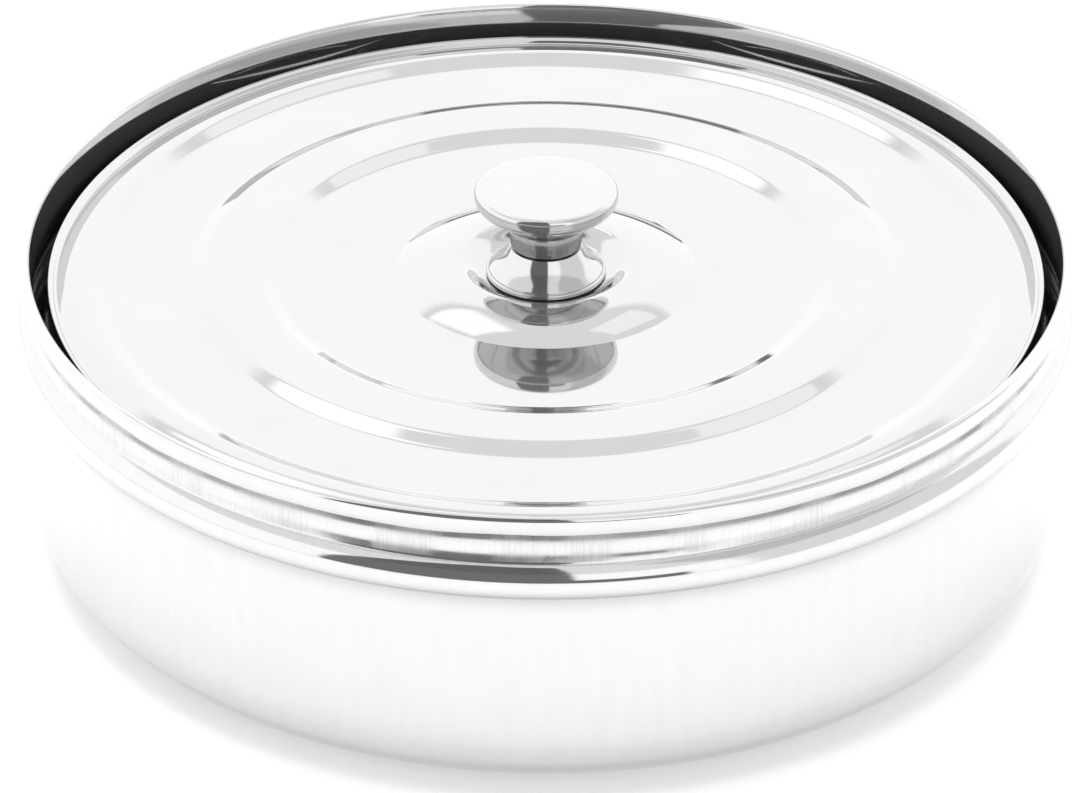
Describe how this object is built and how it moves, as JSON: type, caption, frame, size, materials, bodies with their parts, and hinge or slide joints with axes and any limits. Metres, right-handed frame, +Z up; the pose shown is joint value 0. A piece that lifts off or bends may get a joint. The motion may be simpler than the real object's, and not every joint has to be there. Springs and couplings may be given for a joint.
{
  "type": "spice box",
  "caption": "Round polished steel spice box with a folded rim, a bead below the neck, a ringed drop-in lid with a turned knob, deep inner cups and a small spoon.",
  "frame": {"origin": "middle of the box's underside, on the surface it stands on", "axes": "+Z up along the axis of the box and its knob, +X through the axis of the first outer cup"},
  "size_m": [0.203, 0.203, 0.0725],
  "materials": {
    "box_steel": "polished stainless steel",
    "lid_steel": "polished stainless steel",
    "knob_steel": "polished stainless steel",
    "cup_steel": "satin stainless steel",
    "spoon_steel": "satin stainless steel"
  },
  "bodies": {
    "box": {"container": "box_steel"},
    "cup_center": {"cup_center": "cup_steel"},
    "cup_1": {"cup_1": "cup_steel"},
    "cup_2": {"cup_2": "cup_steel"},
    "cup_3": {"cup_3": "cup_steel"},
    "cup_4": {"cup_4": "cup_steel"},
    "cup_5": {"cup_5": "cup_steel"},
    "cup_6": {"cup_6": "cup_steel"},
    "spoon": {"spoon": "spoon_steel"},
    "lid": {"lid_plate": "lid_steel", "knob_base": "knob_steel", "knob_grip": "knob_steel", "knob_screw": "knob_steel", "knob_washer": "knob_steel"}
  },
  "joints": [
    {"name": "cups_lift", "type": "slide", "parent": "box", "child": "cup_center", "axis": [0, 0, 1], "range_m": [0, 0.08]},
    {"name": "cup_1_lift", "type": "slide", "parent": "box", "child": "cup_1", "axis": [0, 0, 1], "range_m": [0, 0.08]},
    {"name": "cup_2_lift", "type": "slide", "parent": "box", "child": "cup_2", "axis": [0, 0, 1], "range_m": [0, 0.08]},
    {"name": "cup_3_lift", "type": "slide", "parent": "box", "child": "cup_3", "axis": [0, 0, 1], "range_m": [0, 0.08]},
    {"name": "cup_4_lift", "type": "slide", "parent": "box", "child": "cup_4", "axis": [0, 0, 1], "range_m": [0, 0.08]},
    {"name": "cup_5_lift", "type": "slide", "parent": "box", "child": "cup_5", "axis": [0, 0, 1], "range_m": [0, 0.08]},
    {"name": "cup_6_lift", "type": "slide", "parent": "box", "child": "cup_6", "axis": [0, 0, 1], "range_m": [0, 0.08]},
    {"name": "spoon_lift", "type": "slide", "parent": "cup_center", "child": "spoon", "axis": [0, 0, 1], "range_m": [0, 0.07]},
    {"name": "lid_lift", "type": "slide", "parent": "spoon", "child": "lid", "axis": [0, 0, 1], "range_m": [0, 0.12]}
  ],
  "couplings": [
    {"joint": "cup_1_lift", "follows": "cups_lift", "ratio": 1},
    {"joint": "cup_2_lift", "follows": "cups_lift", "ratio": 1},
    {"joint": "cup_3_lift", "follows": "cups_lift", "ratio": 1},
    {"joint": "cup_4_lift", "follows": "cups_lift", "ratio": 1},
    {"joint": "cup_5_lift", "follows": "cups_lift", "ratio": 1},
    {"joint": "cup_6_lift", "follows": "cups_lift", "ratio": 1}
  ]
}
